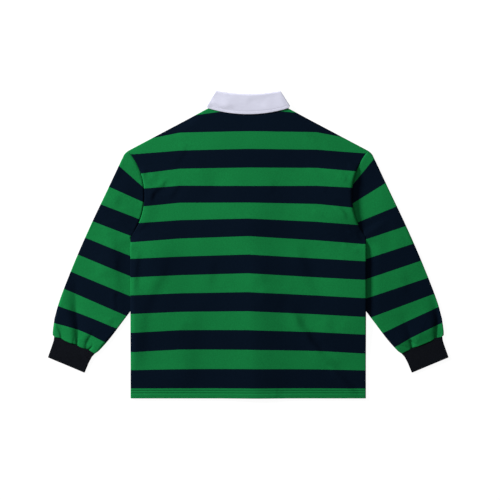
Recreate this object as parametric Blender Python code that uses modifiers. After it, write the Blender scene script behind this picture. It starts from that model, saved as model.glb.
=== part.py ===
"""A long-sleeved striped rugby polo shirt, laid flat on its front with its back upwards.

The shirt lies on the plane z = 0. +Y runs from the hem to the collar, and +X is the wearer's right.
Outlines are worked out in garment coordinates: x from the centre line, y from the hem.
Every piece of cloth is a wall: its outer skin is lofted, and Solidify gives it its thickness.
"""

import math

import bmesh
import bpy
import numpy as np
from mathutils import Matrix, Vector

MM = 0.001

# --- cloth -----------------------------------------------------------------
JERSEY = 1.2 * MM  # wall of the body and sleeves
COLLAR_CLOTH = 1.6 * MM  # two plies of twill, pressed together
RIB = 1.9 * MM  # folded rib knit of the cuffs
SEAM_GAP = 0.3 * MM  # between two pieces that are sewn together
SEAM_LIP = 1.0 * MM  # how high a panel stands straight up at a side or shoulder seam
LIP_STEP = 0.04 * MM  # how far in from the seam the lip's top is

# --- body ------------------------------------------------------------------
BODY_HALF_WIDTH = 293.75 * MM
UNDERARM_Y = 402 * MM
SHOULDER_TIP = (300 * MM, 617.5 * MM)
SHOULDER_SLOPE = math.tan(math.radians(27.9))
ARMHOLE_DEPTH = 38 * MM  # how far the armhole curves in from its chord
NECK_HALF_WIDTH = 85 * MM
BACK_NECK_DROP = 9 * MM
BACK_NECK_POWER = 2.0
FRONT_NECK_DROP = 84 * MM
FRONT_NECK_POWER = 2.2  # 2 is a parabola, and more has squarer corners
BODY_THICKNESS = 6.2 * MM  # both panels and the air between them
FIXED_HALF = 60 * MM  # the middle of a panel, whose columns stay upright
PANEL_ROWS = (0, 90, 158, 180, 203, 260, 330, 377, 390)  # up the side seam to the underarm, in mm
ARMHOLE_ROWS = (0.12, 0.26, 0.41, 0.56, 0.71, 0.86)  # shares of the armhole, from the shoulder tip down
PANEL_COLUMNS = (268, 236, 190, 115)  # from the side to the neck, in mm
NECK_COLUMNS = (1.0, 0.86, 0.67, 0.45, 0.19)  # shares of the neck's half-width

# --- the sleeves' tuck under the body's sides --------------------------------
TUCK_LIFT = 4.3 * MM  # how far the sleeve lifts the body's side
TUCK_REACH = 44 * MM  # how far in from the body's edge that lift is full
TUCK_INNER_RAMP = 60 * MM
TUCK_TOP_RAMP = 25 * MM
TUCK_LOW_Y = 203 * MM
TUCK_LOW_RAMP = 45 * MM
TUCKED_SLEEVE = 3.8 * MM  # the sleeve's thickness where the body lies on it

# --- sleeves, in a frame that starts at the shoulder tip and runs down the arm ---
SLEEVE_ANGLE = math.radians(22.7)  # from straight down
SLEEVE_THICKNESS = 6.2 * MM
TUCK_RELEASE = 36 * MM  # from the body's edge to where the sleeve is full again
# The sleeve's top fold: how far it is along the sleeve, and how far it stands above the axis.
TOP_FOLD = (
    ("along", "crown"),
    (0.0, 0.0),
    (10.8, 6.3),
    (27.5, 7.8),
    (110.0, 10.0),
    (205.0, 14.5),
    (305.0, 16.5),
    (400.0, 15.0),
    (450.0, 9.6),
    (480.0, 2.6),
)
# The sleeve's underarm fold in garment coordinates: down the body's side, in under it, and out to the cuff.
UNDERARM_FOLD = (
    ("out", "up"),
    (294.2, 402.0),
    (294.2, 377.0),
    (283.0, 345.0),
    (264.0, 308.0),
    (259.0, 280.0),
    (267.0, 250.0),
    (293.75, 217.5),
    (334.4, 166.2),
    (373.0, 117.5),
)
# Gathers at the cuff seam: the share of the seam where the trough is, its half-width, depth and length.
GATHERS = (
    ("share", "half_width", "depth", "length"),
    (0.17, 7.0, 1.7, 30.0),
    (0.50, 8.0, 2.0, 46.0),
    (0.84, 7.0, 1.8, 34.0),
)
GATHER_MARGIN = 6 * MM  # from a fold to where the gathers are at their full depth
SLEEVE_RINGS = (0, 0.035, 0.075, 0.13, 0.2, 0.28, 0.37, 0.47, 0.57, 0.67, 0.77, 0.86, 0.925, 0.965, 1)
UNDERARM_FAN = 2.2  # how much closer the sleeve's rings start to each other at the underarm
ARMHOLE_FADE = 0.32  # the share of the sleeve by which its rings have lost the armhole's curve

# --- cuffs, in the sleeve's frame ---------------------------------------------
CUFF_SEAM_ALONG = 499 * MM
CUFF_THICKNESS = 6.0 * MM
# How far along the cuff, and where its two sides are across the sleeve.
CUFF_SIDES = (
    ("along", "top_side", "under_side"),
    (0.0, 8.6, 119.8),
    (1.5, 8.8, 119.4),
    (10.0, 10.8, 115.4),
    (27.0, 12.4, 113.6),
    (53.0, 14.8, 113.6),
)

# --- collar -----------------------------------------------------------------
ROLL_HALF_WIDTH = 78.5 * MM
ROLL_Y = 767 * MM
BACK_ROLL_DIP = 6.8 * MM
FRONT_ROLL_DIP = 89 * MM
FALL_HALF_WIDTH = 102 * MM
FALL_SIDE_Y = 727 * MM
BACK_FALL_DIP = 17 * MM
COLLAR_POINT = (43 * MM, 614 * MM)
COLLAR_SPLIT = 0.8 * MM  # from the centre front to each end of the stand
ROLL_START = 0.9  # where the stand starts to turn over into the fall
COLLAR_HEIGHT = 11.6 * MM  # the fall lies on the floor in front and on the back panel behind
STAND_ON_FRONT = 4.3 * MM  # the front stand's inner side
STAND_UNDER_BACK = 7.4 * MM  # the back stand's inner side

# --- placket and buttons --------------------------------------------------------
PLACKET_HALF_WIDTH = 15 * MM
PLACKET_LENGTH = 165 * MM
PLACKET_LEVEL = 2.7 * MM  # the buttons under the placket lift it off the floor
PLACKET_RAMP = 34 * MM
COLLAR_PAD = (112 * MM, 122 * MM)  # the ellipse of the front that the collar's fall lifts
COLLAR_PAD_RAMP = 45 * MM
BUTTON_RADIUS = 5.75 * MM
BUTTON_THICKNESS = 2.4 * MM
BUTTON_ROUNDING = 0.5 * MM
BUTTON_WELL_RADIUS = 3.4 * MM
BUTTON_WELL_DEPTH = 0.7 * MM
BUTTON_DROPS = (17 * MM, 72 * MM, 127 * MM)  # below the front neck seam

NECK_Y = SHOULDER_TIP[1] + (SHOULDER_TIP[0] - NECK_HALF_WIDTH) * SHOULDER_SLOPE
FRONT_NECK_Y = NECK_Y - FRONT_NECK_DROP
PLACKET_LOW_Y = FRONT_NECK_Y - PLACKET_LENGTH


# --- shapes in numbers ------------------------------------------------------------
def columns(table, unit=MM):
    """A short table's columns, each under its own name, in metres."""
    values = np.array(table[1:]) * unit
    return {name: values[:, i] for i, name in enumerate(table[0])}


def smooth(t):
    t = np.clip(t, 0, 1)
    return t * t * (3 - 2 * t)


def spline(points, shares):
    """Points on the Catmull-Rom curve through these points, at these shares of its length."""
    p = np.array(points, float)
    p = np.vstack([2 * p[0] - p[1], p, 2 * p[-1] - p[-2]])
    t = np.linspace(0, 1, 12, endpoint=False)[:, None]
    runs = []
    for a, b, c, d in zip(p, p[1:], p[2:], p[3:]):
        bend, twist = a - 2.5 * b + 2 * c - d / 2, 1.5 * (b - c) + (d - a) / 2
        runs.append(b + t * (c - a) / 2 + t**2 * bend + t**3 * twist)
    line = np.vstack([*runs, p[-2:-1]])
    along = np.concatenate([[0], np.cumsum(np.linalg.norm(np.diff(line, axis=0), axis=1))])
    at = np.asarray(shares) * along[-1]
    return np.stack([np.interp(at, along, line[:, k]) for k in range(2)], axis=1)


def distance(points, path):
    """How far each point is from a path of straight runs."""
    best = np.full(points.shape[:-1], np.inf)
    for a, b in zip(path[:-1], path[1:]):
        run = b - a
        t = np.clip(((points - a) @ run) / (run @ run), 0, 1)
        best = np.minimum(best, np.linalg.norm(points - a - t[..., None] * run, axis=-1))
    return best


def edge_round(d, radius):
    """0 on a folded edge and 1 from one radius inside it, along a quarter circle."""
    return np.sqrt(1 - np.clip(1 - d / radius, 0, 1) ** 2)


def seam_turn(radius, steps):
    """Distances from a folded edge that lie evenly round its quarter circle, without the edge itself."""
    return radius * (1 - np.cos(np.linspace(0, math.pi / 2, steps + 1)))[1:]


def across_fold(width, radius, middle, steps=3):
    """Distances from one folded edge to the other, close together where the edges turn."""
    turn = np.concatenate([[0], seam_turn(radius, steps)])
    return np.concatenate([turn, np.linspace(radius, width - radius, middle + 1)[1:-1], (width - turn)[::-1]])


# --- the garment's outline and heights -----------------------------------------------
def from_sleeve(along, across):
    """Garment coordinates of a place on the right sleeve."""
    down, out = math.cos(SLEEVE_ANGLE), math.sin(SLEEVE_ANGLE)
    x = SHOULDER_TIP[0] + along * out - across * down
    y = SHOULDER_TIP[1] - along * down - across * out
    return np.stack([x, y], axis=-1)


def top_fold(shares):
    rows, cuff = columns(TOP_FOLD), columns(CUFF_SIDES)
    along = np.append(rows["along"], CUFF_SEAM_ALONG)
    across = np.append(-rows["crown"], cuff["top_side"][0])
    return spline(from_sleeve(along, across), shares)


def underarm_fold(shares):
    rows, cuff = columns(UNDERARM_FOLD), columns(CUFF_SIDES)
    places = np.stack([rows["out"], rows["up"]], axis=-1)
    return spline(np.vstack([places, from_sleeve(CUFF_SEAM_ALONG, cuff["under_side"][0])]), shares)


def armhole_arc():
    """The armhole's radius and half of the angle that it turns through."""
    half = math.dist(SHOULDER_TIP, (BODY_HALF_WIDTH, UNDERARM_Y)) / 2
    radius = (half**2 + ARMHOLE_DEPTH**2) / (2 * ARMHOLE_DEPTH)
    return radius, math.asin(half / radius)


def armhole(shares, gap=0.0):
    """The armhole's arc, from the shoulder tip to the underarm, moved outwards by gap."""
    radius, reach = armhole_arc()
    tip, low = np.array(SHOULDER_TIP), np.array([BODY_HALF_WIDTH, UNDERARM_Y])
    upward = (tip - low) / np.linalg.norm(tip - low)
    inward = np.array([-upward[1], upward[0]])
    centre = (tip + low) / 2 + inward * (ARMHOLE_DEPTH - radius)
    turn = reach * (1 - 2 * np.asarray(shares))
    return centre + (radius - gap) * (np.cos(turn)[:, None] * inward + np.sin(turn)[:, None] * upward)


def armhole_shares():
    """Where the panels' rows and the sleeve's first ring meet along the armhole."""
    radius, reach = armhole_arc()
    turn = seam_turn(BODY_THICKNESS / 2, 2) / (2 * reach * radius)
    lip = LIP_STEP / (2 * reach * radius)
    return np.concatenate([[0, lip], turn, ARMHOLE_ROWS, 1 - turn[::-1], [1]])


def neck_y(x, drop, power):
    return NECK_Y - drop * (1 - (np.abs(x) / NECK_HALF_WIDTH) ** power)


def shirt_top_y(x, drop, power):
    """The top edge of a panel: the shoulder seams, and the neck between them."""
    x = np.abs(x)
    shoulder = SHOULDER_TIP[1] + (SHOULDER_TIP[0] - x) * SHOULDER_SLOPE
    return np.where(x > NECK_HALF_WIDTH, shoulder, neck_y(np.minimum(x, NECK_HALF_WIDTH), drop, power))


UPPER_FOLDS = np.vstack([[NECK_HALF_WIDTH, NECK_Y], top_fold(np.linspace(0, 1, 40))])
SIDE_FOLD = np.array([[BODY_HALF_WIDTH, -0.1], [BODY_HALF_WIDTH, UNDERARM_Y]])
UNDERARM_LINE = underarm_fold(np.linspace(0, 1, 60))


def body_floor(points):
    """The body's lowest side: 0 where it rests, and higher over the sleeves, the placket and the collar."""
    x, y = np.abs(points[..., 0]), points[..., 1]
    inner = BODY_HALF_WIDTH - TUCK_REACH
    tuck = (
        smooth(1 - (inner - x) / TUCK_INNER_RAMP)
        * smooth((UNDERARM_Y - y) / TUCK_TOP_RAMP)
        * smooth(1 - (TUCK_LOW_Y - y) / TUCK_LOW_RAMP)
    )
    placket = np.array([[0.0, PLACKET_LOW_Y], [0.0, NECK_Y]])
    off_placket = distance(np.stack([x, y], axis=-1), placket) - PLACKET_HALF_WIDTH - 3 * MM
    off_collar = (np.hypot(x / COLLAR_PAD[0], (NECK_Y - y) / COLLAR_PAD[1]) - 1) * COLLAR_PAD[0]
    pads = np.maximum(smooth(1 - off_placket / PLACKET_RAMP), smooth(1 - off_collar / COLLAR_PAD_RAMP))
    return TUCK_LIFT * tuck + PLACKET_LEVEL * pads


def body_height(points, upper):
    """The body's outer skin, above or below; its edge stands upright at the side and shoulder seams."""
    outward = np.stack([np.abs(points[..., 0]), points[..., 1]], axis=-1)
    d = np.minimum(distance(outward, SIDE_FOLD), distance(outward, UPPER_FOLDS))
    half = BODY_THICKNESS / 2
    reach = np.maximum(half * edge_round(d, half), SEAM_LIP)
    reach = np.where(d < LIP_STEP / 2, SEAM_GAP / 2, reach)
    middle = body_floor(points) + half
    return middle + reach if upper else middle - reach


def sleeve_place(points):
    """How far along and across the sleeve these garment points are."""
    x, y = points[..., 0] - SHOULDER_TIP[0], SHOULDER_TIP[1] - points[..., 1]
    down, out = math.cos(SLEEVE_ANGLE), math.sin(SLEEVE_ANGLE)
    return x * out + y * down, -x * down + y * out


def gather_depth(points):
    """How deep the gathers dip towards the cuff seam."""
    along, across = sleeve_place(points)
    sides = columns(CUFF_SIDES)
    seam_width = sides["under_side"][0] - sides["top_side"][0]
    share = (across - sides["top_side"][0]) / seam_width
    rows = columns(GATHERS, 1.0)
    depth = np.zeros(points.shape[:-1])
    for at, half_width, deep, length in zip(*rows.values()):
        near = smooth((along - CUFF_SEAM_ALONG) / (length * MM) + 1)
        depth += deep * MM * near * np.exp(-(((share - at) * seam_width / (half_width * MM)) ** 2))
    return depth


def sleeve_height(points, upper):
    """The sleeve's outer skin: thinner under the body's side, and dipping into the gathers at the cuff."""
    along, _ = sleeve_place(points)
    share = along / CUFF_SEAM_ALONG
    under_body = (
        smooth(1 - (points[..., 0] - BODY_HALF_WIDTH - 3 * MM) / TUCK_RELEASE)
        * smooth((UNDERARM_Y - points[..., 1]) / TUCK_TOP_RAMP)
        * smooth((0.86 - share) / 0.12)
    )
    thick = SLEEVE_THICKNESS + (TUCKED_SLEEVE - SLEEVE_THICKNESS) * under_body
    d = np.minimum(distance(points, UPPER_FOLDS), distance(points, UNDERARM_LINE))
    reach = thick / 2 * edge_round(d, thick / 2)
    dip = gather_depth(points) * edge_round(d, GATHER_MARGIN)
    return thick / 2 + reach - dip if upper else thick / 2 - reach


# --- from numbers to solids --------------------------------------------------------
def fresh_scene():
    for old in list(bpy.data.objects):
        bpy.data.objects.remove(old, do_unlink=True)
    shirt = bpy.data.collections.new("polo_shirt")
    bpy.context.scene.collection.children.link(shirt)
    frame = bpy.data.objects.new("shirt_frame", None)
    frame.location.y = -ROLL_Y / 2
    shirt.objects.link(frame)
    return shirt, frame


def material(name, colour, roughness):
    made = bpy.data.materials.new(name)
    made.use_nodes = True
    shader = made.node_tree.nodes["Principled BSDF"]
    shader.inputs["Base Color"].default_value = (*colour, 1)
    shader.inputs["Roughness"].default_value = roughness
    return made


def add(name, mesh, finish, shirt, frame):
    piece = bpy.data.objects.new(name, mesh)
    piece.data.materials.append(finish)
    piece.parent = frame
    shirt.objects.link(piece)
    return piece


def loft(name, sections, ring=False, flip=False):
    """A skin through sections of equal point counts; each section is closed if ring is set."""
    grid = np.array(sections)
    rows, count = grid.shape[:2]
    faces = []
    for i in range(rows - 1):
        for j in range(count if ring else count - 1):
            k = (j + 1) % count
            corners = [i * count + j, i * count + k, (i + 1) * count + k, (i + 1) * count + j]
            faces.append(corners[::-1] if flip else corners)
    mesh = bpy.data.meshes.new(name)
    mesh.from_pydata(grid.reshape(-1, 3).tolist(), [], faces)
    mesh.shade_smooth()
    return mesh


def thicken(piece, wall):
    """The wall lies inside the skin."""
    solid = piece.modifiers.new("wall", "SOLIDIFY")
    solid.thickness = wall
    solid.offset = -1
    return piece


def mirrored(mesh, name):
    """The same piece on the wearer's other side."""
    other = mesh.copy()
    other.name = name
    other.transform(Matrix.Scale(-1, 4, Vector((1, 0, 0))))
    other.flip_normals()
    return other


# --- pieces ----------------------------------------------------------------------------
def panel_mesh(name, upper, drop, power):
    """The back or front: rows from the hem to the shoulders, each from side to side."""
    straight = np.array(PANEL_ROWS) * MM
    sides = np.stack([np.full(len(straight), BODY_HALF_WIDTH), straight], axis=-1)
    sides = np.vstack([sides, armhole(armhole_shares())[::-1]])
    tip_x = SHOULDER_TIP[0]
    turn = np.concatenate([[0, LIP_STEP], seam_turn(BODY_THICKNESS / 2, 2)])
    neck = NECK_HALF_WIDTH * np.array(NECK_COLUMNS)
    bases = np.concatenate([tip_x - turn, np.array(PANEL_COLUMNS) * MM, neck])
    bases = np.concatenate([-bases, [0.0], bases[::-1]])
    sections = []
    for half_width, y in sides:
        rise = np.clip((y - UNDERARM_Y) / (SHOULDER_TIP[1] - UNDERARM_Y), 0, 1) ** 1.4
        size = np.abs(bases)
        x = FIXED_HALF + (size - FIXED_HALF) * (half_width - FIXED_HALF) / (tip_x - FIXED_HALF)
        x = np.where(size > tip_x - BODY_THICKNESS, half_width - (tip_x - size), x)
        x = np.sign(bases) * np.where(size <= FIXED_HALF, size, x)
        top = shirt_top_y(bases, drop, power) - SHOULDER_TIP[1]
        at_neck = np.clip((NECK_HALF_WIDTH + 6 * MM - size) / (6 * MM), 0, 1)
        flat = np.stack([x, y + rise * (top - SEAM_GAP * at_neck)], axis=-1)
        sections.append(np.concatenate([flat, body_height(flat, upper)[:, None]], axis=-1))
    return loft(name, sections, flip=not upper)


def ring(above, below, heights):
    """A closed section of a flattened tube, from its places on the upper side and on the lower side."""
    upper = np.concatenate([above, heights(above, True)[:, None]], axis=-1)
    lower = np.concatenate([below, heights(below, False)[:, None]], axis=-1)
    return np.vstack([upper, lower[-2:0:-1]])


def sleeve_line(share):
    """Places across the right sleeve at this share of its top fold; the lines fan out from the underarm."""
    seam = armhole(armhole_shares(), SEAM_GAP)
    if share == 0:
        return seam
    top, under = top_fold([share])[0], underarm_fold([share**UNDERARM_FAN])[0]
    width = np.linalg.norm(under - top)
    q = across_fold(width, SLEEVE_THICKNESS / 2, len(seam) - 7, 3) / width
    seam_q = armhole(q, SEAM_GAP)
    bulge = seam_q - (seam_q[0] + q[:, None] * (seam_q[-1] - seam_q[0]))
    fade = (1 - smooth(share / ARMHOLE_FADE)) * smooth((1 - q) / (0.05 + 3 * share))
    return top + q[:, None] * (under - top) + bulge * fade[:, None]


def sleeve_sections():
    """Rings of the right sleeve from the armhole to the cuff seam."""
    return [ring(sleeve_line(share), sleeve_line(share), sleeve_height) for share in SLEEVE_RINGS]


def cuff_height(points, upper):
    """The cuff's outer skin."""
    along, across = sleeve_place(points)
    rows = columns(CUFF_SIDES)
    top_side = np.interp(along - CUFF_SEAM_ALONG, rows["along"], rows["top_side"])
    under_side = np.interp(along - CUFF_SEAM_ALONG, rows["along"], rows["under_side"])
    half = CUFF_THICKNESS / 2
    reach = half * edge_round(np.minimum(across - top_side, under_side - across), half)
    return half + reach if upper else half - reach


def cuff_sections():
    """Rings of the right cuff, from the sleeve's seam to its open end."""
    sections = []
    for along, top_side, under_side in zip(*columns(CUFF_SIDES).values()):
        across = top_side + across_fold(under_side - top_side, CUFF_THICKNESS / 2, 6)
        flat = from_sleeve(CUFF_SEAM_ALONG + max(along, SEAM_GAP), across)
        sections.append(ring(flat, flat, cuff_height))
    return sections


def collar_line(w):
    """The collar's ring at w: 0 is the neck seam, 1 the roll, and 2 the fall's edge.

    Its skin is the side that faces the neck, then the roll, then the outside of the fall. It runs from
    the centre front round the wearer's left side and the back to the centre front again.
    """
    stand, fall = min(w, 1), max(w - 1, 0)
    inner_half = NECK_HALF_WIDTH - COLLAR_CLOTH
    half = inner_half + stand * (ROLL_HALF_WIDTH - inner_half) + fall * (FALL_HALF_WIDTH - ROLL_HALF_WIDTH)
    side_y = NECK_Y + stand * (ROLL_Y - NECK_Y) + fall * (FALL_SIDE_Y - ROLL_Y)
    back_dip = BACK_NECK_DROP + stand * (BACK_ROLL_DIP - BACK_NECK_DROP)
    back_dip += fall * (BACK_FALL_DIP - BACK_ROLL_DIP)
    front_dip = FRONT_NECK_DROP + stand * (FRONT_ROLL_DIP - FRONT_NECK_DROP)
    turned = smooth((w - ROLL_START) / (2 - 2 * ROLL_START))
    low = STAND_ON_FRONT * (1 - turned)
    high = STAND_UNDER_BACK + (COLLAR_HEIGHT - STAND_UNDER_BACK) * turned
    radius = (high - low) / 2
    bend = half - np.concatenate([[0], seam_turn(radius, 3)])
    inner = np.array(NECK_COLUMNS[1:])
    back_x = np.concatenate([bend, half * inner, [0.0]])
    back_x = np.concatenate([-back_x, back_x[-2::-1]])
    back_y = side_y - back_dip * (1 - (back_x / half) ** 2)
    back_z = (high + low) / 2 + radius * edge_round(half - np.abs(back_x), radius)
    end_x = COLLAR_SPLIT + fall * (COLLAR_POINT[0] - COLLAR_SPLIT)
    front_x = np.concatenate([bend, end_x + (half - end_x) * inner, [end_x]])
    q = (half - front_x) / (half - end_x)
    curved = side_y - front_dip * (1 - (front_x / half) ** FRONT_NECK_POWER)
    front_y = (1 - fall) * curved + fall * (side_y + q * (COLLAR_POINT[1] - side_y))
    front_z = (high + low) / 2 - radius * edge_round(half - front_x, radius)
    left_front = np.stack([-front_x, front_y, front_z], axis=-1)[::-1]
    right_front = np.stack([front_x, front_y, front_z], axis=-1)
    back = np.stack([back_x, back_y, back_z], axis=-1)
    return np.vstack([left_front, back[1:-1], right_front])


def collar_mesh():
    steps = (0, 0.5, ROLL_START, 1, 2 - ROLL_START, 1.5, 2)
    return loft("collar", [collar_line(w) for w in steps], flip=True)


def strip_mesh(name, level):
    """One strip of the placket, with its top cut to the neck's curve and its outer side at this level."""
    xs = np.linspace(-PLACKET_HALF_WIDTH, PLACKET_HALF_WIDTH, 7)
    low = PLACKET_LOW_Y + SEAM_GAP
    top = neck_y(xs, FRONT_NECK_DROP, FRONT_NECK_POWER) - SEAM_GAP
    rows = [low + share * (top - low) for share in np.linspace(0, 1, 6)]
    return loft(name, [np.stack([xs, y, np.full(len(xs), level)], axis=-1) for y in rows], flip=True)


def button_mesh():
    """A turned disc with a shallow well, its face down."""
    thick, radius = BUTTON_THICKNESS, BUTTON_RADIUS
    profile = [
        (0, thick),
        (radius - BUTTON_ROUNDING, thick),
        (radius, thick - BUTTON_ROUNDING),
        (radius, BUTTON_ROUNDING),
        (radius - BUTTON_ROUNDING, 0),
        (BUTTON_WELL_RADIUS + BUTTON_WELL_DEPTH, 0),
        (BUTTON_WELL_RADIUS, BUTTON_WELL_DEPTH),
        (0, BUTTON_WELL_DEPTH),
    ]
    mesh = bpy.data.meshes.new("button")
    edges = [(i, i + 1) for i in range(len(profile) - 1)]
    mesh.from_pydata([(x, 0, z) for x, z in profile], edges, [])
    return mesh


def turned(piece):
    screw = piece.modifiers.new("turn", "SCREW")
    screw.steps = 16
    screw.render_steps = 16
    screw.use_merge_vertices = True
    screw.merge_threshold = 0.00001
    return piece


def cut_slot(front, frame):
    """The front's opening for the placket, from the placket's foot up through the neck."""
    size = Vector((2 * (PLACKET_HALF_WIDTH + SEAM_GAP), NECK_Y - PLACKET_LOW_Y, 4 * BODY_THICKNESS))
    box = bmesh.new()
    bmesh.ops.create_cube(box, size=1, matrix=Matrix.Diagonal(size.to_4d()))
    mesh = bpy.data.meshes.new("slot")
    box.to_mesh(mesh)
    box.free()
    cutter = bpy.data.objects.new("slot", mesh)
    cutter.location = (0, (NECK_Y + PLACKET_LOW_Y) / 2, 0)
    cutter.parent = frame
    cutter.hide_render = True
    cutter.display_type = "WIRE"
    cutters = bpy.data.collections.new("cutters")
    bpy.context.scene.collection.children.link(cutters)
    cutters.objects.link(cutter)
    cut = front.modifiers.new("slot", "BOOLEAN")
    cut.operation = "DIFFERENCE"
    cut.object = cutter


def main():
    shirt, frame = fresh_scene()
    jersey = material("striped_jersey", (0.01, 0.13, 0.045), 0.9)
    twill = material("white_twill", (0.62, 0.62, 0.72), 0.85)
    rib = material("black_rib", (0.008, 0.009, 0.012), 0.9)
    plastic = material("button_plastic", (0.75, 0.75, 0.72), 0.35)

    def cloth(mesh, finish, wall):
        return thicken(add(mesh.name, mesh, finish, shirt, frame), wall)

    cloth(panel_mesh("back_panel", True, BACK_NECK_DROP, BACK_NECK_POWER), jersey, JERSEY)
    front = cloth(panel_mesh("front_panel", False, FRONT_NECK_DROP, FRONT_NECK_POWER), jersey, JERSEY)
    cut_slot(front, frame)

    sleeve = loft("sleeve_right", sleeve_sections(), ring=True)
    cuff = loft("cuff_right", cuff_sections(), ring=True)
    cloth(sleeve, jersey, JERSEY)
    cloth(mirrored(sleeve, "sleeve_left"), jersey, JERSEY)
    cloth(cuff, rib, RIB)
    cloth(mirrored(cuff, "cuff_left"), rib, RIB)
    cloth(collar_mesh(), twill, COLLAR_CLOTH)

    cloth(strip_mesh("placket_over", PLACKET_LEVEL), twill, JERSEY)
    cloth(strip_mesh("placket_under", PLACKET_LEVEL + JERSEY + SEAM_GAP), twill, JERSEY)
    disc = button_mesh()
    for number, drop in enumerate(BUTTON_DROPS, start=1):
        button = turned(add(f"button_{number}", disc, plastic, shirt, frame))
        button.location = (0, FRONT_NECK_Y - drop, 0)


main()
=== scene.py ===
"""The looks of a long-sleeved striped rugby polo shirt, laid flat on its front with its back upwards.

Places are worked out in garment coordinates, x from the centre line and y from the hem, in millimetres.
Every cloth piece is a thin closed shell on the form of its CAD solid, with the folds put in one by one.
"""

import math
from functools import partialmethod

import bmesh
import bpy
import numpy as np
from mathutils import Matrix, Vector


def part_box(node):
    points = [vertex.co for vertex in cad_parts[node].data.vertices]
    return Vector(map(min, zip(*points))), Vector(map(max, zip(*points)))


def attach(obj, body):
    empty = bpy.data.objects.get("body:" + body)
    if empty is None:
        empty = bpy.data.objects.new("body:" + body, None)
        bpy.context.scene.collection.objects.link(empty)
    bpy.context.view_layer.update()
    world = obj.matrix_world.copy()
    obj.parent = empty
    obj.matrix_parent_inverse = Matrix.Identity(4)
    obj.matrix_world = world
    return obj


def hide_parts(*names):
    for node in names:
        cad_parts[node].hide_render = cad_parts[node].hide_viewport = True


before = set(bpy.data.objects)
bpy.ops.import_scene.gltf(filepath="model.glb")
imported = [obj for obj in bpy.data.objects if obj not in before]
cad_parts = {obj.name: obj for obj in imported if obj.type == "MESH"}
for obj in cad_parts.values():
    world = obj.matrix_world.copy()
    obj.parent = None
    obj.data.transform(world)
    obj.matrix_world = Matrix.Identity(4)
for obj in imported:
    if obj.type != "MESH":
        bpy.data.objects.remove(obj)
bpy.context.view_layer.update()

MM = 0.001


def corners(node):
    """A CAD node's box in millimetres: its lowest and highest corner."""
    return np.array(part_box(node)) / MM


BACK_LOW, BACK_HIGH = corners("back_panel")
COLLAR_HIGH = corners("collar")[1]
STRIP_LOW, STRIP_HIGH = corners("placket_over")
HEM_Y = BACK_LOW[1]  # where the garment's y starts, in the row's frame

# --- cloth and seams ---
JERSEY, COLLAR_CLOTH, RIB = 1.2, 1.6, 1.9
SEAM_GAP = 0.3
SEAM_LIP, LIP_STEP = 1.0, 0.04  # half the thickness that the body's edges keep, and how far in they have it
SLEEVE_TUCK = 0.9  # how far the sleeve's edge reaches under the body's at the armhole

# --- body ---
BODY_HALF_WIDTH = 293.75
BODY_THICKNESS = 6.2
UNDERARM_Y = 402
SHOULDER_TIP = (BACK_HIGH[0], 617.5)
SHOULDER_SLOPE = math.tan(math.radians(27.9))
ARMHOLE_DEPTH = 38
HALF_CHORD = math.dist(SHOULDER_TIP, (BODY_HALF_WIDTH, UNDERARM_Y)) / 2
ARMHOLE_RADIUS = (HALF_CHORD**2 + ARMHOLE_DEPTH**2) / (2 * ARMHOLE_DEPTH)
ARMHOLE_TURN = math.asin(HALF_CHORD / ARMHOLE_RADIUS)  # half of the angle that the armhole's arc turns through
NECK_HALF_WIDTH = 85
BACK_NECK, FRONT_NECK = (9, 2.0), (84, 2.2)  # how deep the neck is, and the power of its curve
FIXED_HALF = 60  # the mesh's columns nearer to the centre line than this don't spread with the sides
UPPER_EDGE = 2.6  # how square the body's and sleeves' folded edges are above
NECK_Y = SHOULDER_TIP[1] + (SHOULDER_TIP[0] - NECK_HALF_WIDTH) * SHOULDER_SLOPE
FRONT_NECK_Y = NECK_Y - FRONT_NECK[0]
HEM_ROWS = (12.5, 18.0)
HEM_TURN = 20.6  # how high the turned-up cloth reaches

# --- the sleeves' tuck under the body's sides ---
TUCK_LIFT = 4.3
TUCK_REACH = 44
TUCK_INNER_RAMP, TUCK_TOP_RAMP, TUCK_LOW_RAMP = 60, 25, 130
TUCK_LOW_Y = 203
TUCKED_SLEEVE = 3.8
TUCK_RELEASE = 36
UPPER_RAMPS = 1.8  # how much longer the ramps of the upper skin are
UPPER_EARLIER = 36  # how much further up the upper skin starts to rise over the sleeve
SIDE_LIFT = 2.2  # how much higher the body's side stands where it lies over the sleeve
SIDE_LIFT_REACH = 60

# --- sleeves, in a frame that starts at the shoulder tip and runs down the arm ---
SLEEVE_ANGLE = math.radians(22.7)
SLEEVE_DOWN, SLEEVE_OUT = math.cos(SLEEVE_ANGLE), math.sin(SLEEVE_ANGLE)
SLEEVE_TURN = np.array([[SLEEVE_OUT, -SLEEVE_DOWN], [-SLEEVE_DOWN, -SLEEVE_OUT]])  # its own inverse
SLEEVE_THICKNESS = 6.2
LEAST_SLEEVE = 1.3  # the lowest that the sleeve's upper side dips
# How far along the sleeve, and how far its top fold stands out there.
TOP_FOLD = (
    (0, 0), (10.8, 4.9), (27.5, 6.4), (110, 10), (205, 14.5), (305, 16.2), (400, 14.3), (450, 9.1), (468, 5.2),
    (485, 0.6), (494.5, -3.2),
)
# In garment coordinates.
UNDERARM_FOLD = (
    (294.2, 402), (292.8, 394), (290.6, 386), (287.4, 376), (281.5, 345), (264, 308), (259, 280), (267, 250),
    (293.75, 217.5), (332.9, 165.4), (348.8, 145), (363, 128.8), (374.2, 117.2),
)
UNDERARM_FAN = 2.2  # how closely the lines across the sleeve stand together at the underarm
ARMHOLE_FADE = 0.32  # the share of the sleeve over which those lines lose the armhole's bulge
FOLD_STEPS = 4  # of the mesh, round a quarter of a folded edge
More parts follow.
